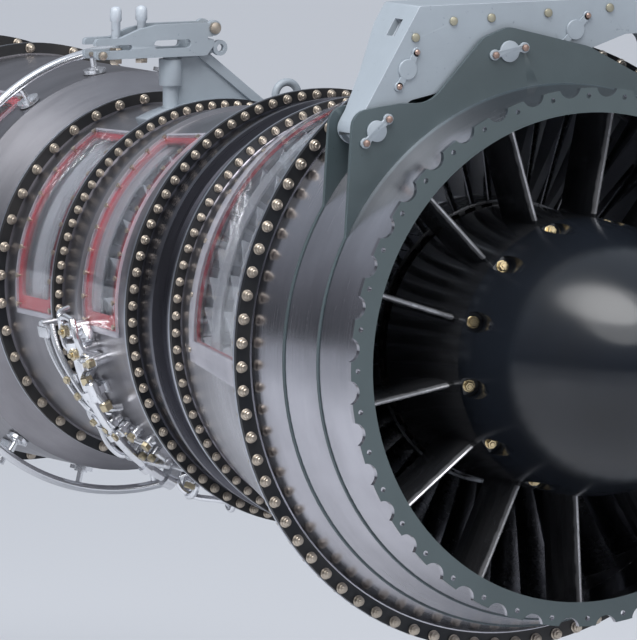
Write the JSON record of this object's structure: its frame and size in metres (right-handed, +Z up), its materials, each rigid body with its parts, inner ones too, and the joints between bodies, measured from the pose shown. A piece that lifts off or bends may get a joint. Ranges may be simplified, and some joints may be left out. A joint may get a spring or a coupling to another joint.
{
  "type": "jet engine",
  "caption": "Axial jet engine with cut-away windows: scalloped intake flange, strutted inlet, nose bullet, bolted tapering casings, twin-spool rotor, jet pipe, mount yoke.",
  "frame": {"origin": "centre of the intake flange's front face, on the engine's axis", "axes": "+Y along the axis towards the exhaust, +Z up, +X to the right seen from the front"},
  "size_m": [0.7606, 2.484, 0.8108],
  "materials": {
    "polished": "polished",
    "black_gloss": "gloss",
    "gold_nut": "satin",
    "dark_paint": "satin",
    "light_paint": "satin",
    "bright": "polished",
    "dark_metal": "satin",
    "clear": "gloss",
    "titanium": "satin"
  },
  "bodies": {
    "casing": {"intake_casing": "polished", "inlet_frame": "black_gloss", "inlet_struts": "black_gloss", "nose_cone": "black_gloss", "nose_bolts": "gold_nut", "front_mount_rib": "dark_paint", "rear_mount_rib": "dark_paint", "mount_yoke": "light_paint", "lug_pins": "bright", "lock_plates": "light_paint", "lock_bolts": "gold_nut", "yoke_bolts": "gold_nut", "front_compressor_casing": "polished", "middle_casing": "dark_metal", "rear_compressor_casing": "polished", "delivery_casing": "polished", "combustor_casing": "polished", "turbine_casing": "dark_metal", "exhaust_frame": "dark_metal", "tail_cone": "dark_metal", "jet_pipe": "dark_metal", "flange_1_bolts": "gold_nut", "flange_2_bolts": "gold_nut", "flange_3_bolts": "gold_nut", "flange_4_bolts": "gold_nut", "flange_5_bolts": "gold_nut", "hot_flange_bolts": "gold_nut", "window_cover_1": "clear", "window_cover_2": "clear", "window_cover_3": "clear", "window_cover_4": "clear", "cover_screws": "gold_nut", "front_vane_ring_1": "titanium", "front_vane_ring_2": "titanium", "front_vane_ring_3": "titanium", "rear_vane_rings": "titanium", "combustor_liner": "dark_metal", "fuel_injectors": "bright", "fuel_ring": "bright", "igniters": "bright", "turbine_vanes_1": "dark_metal", "turbine_vanes_2": "dark_metal", "rear_bracket": "light_paint", "bracket_bolts": "bright", "drain_pipe": "bright", "pipe_clamps": "bright", "top_pipe_loop": "bright", "bearing_outer_races": "bright", "bearing_rollers": "bright"},
    "front_rotor": {"inner_shaft": "dark_metal", "fan_disc": "dark_metal", "fan_blades_ring": "titanium", "front_disc_2": "titanium", "front_disc_3": "titanium", "rear_turbine": "dark_metal", "inner_shaft_races": "bright"},
    "rear_rotor": {"outer_shaft": "dark_metal", "rear_rotor_drum": "titanium", "front_turbine": "dark_metal", "outer_shaft_races": "bright"}
  },
  "joints": [
    {"name": "front_rotor_spin", "type": "hinge", "parent": "casing", "child": "front_rotor", "pos_m": [0, 0.3, 0], "axis": [0, 1, 0], "continuous": true},
    {"name": "rear_rotor_spin", "type": "hinge", "parent": "casing", "child": "rear_rotor", "pos_m": [0, 0.9, 0], "axis": [0, 1, 0], "continuous": true}
  ]
}
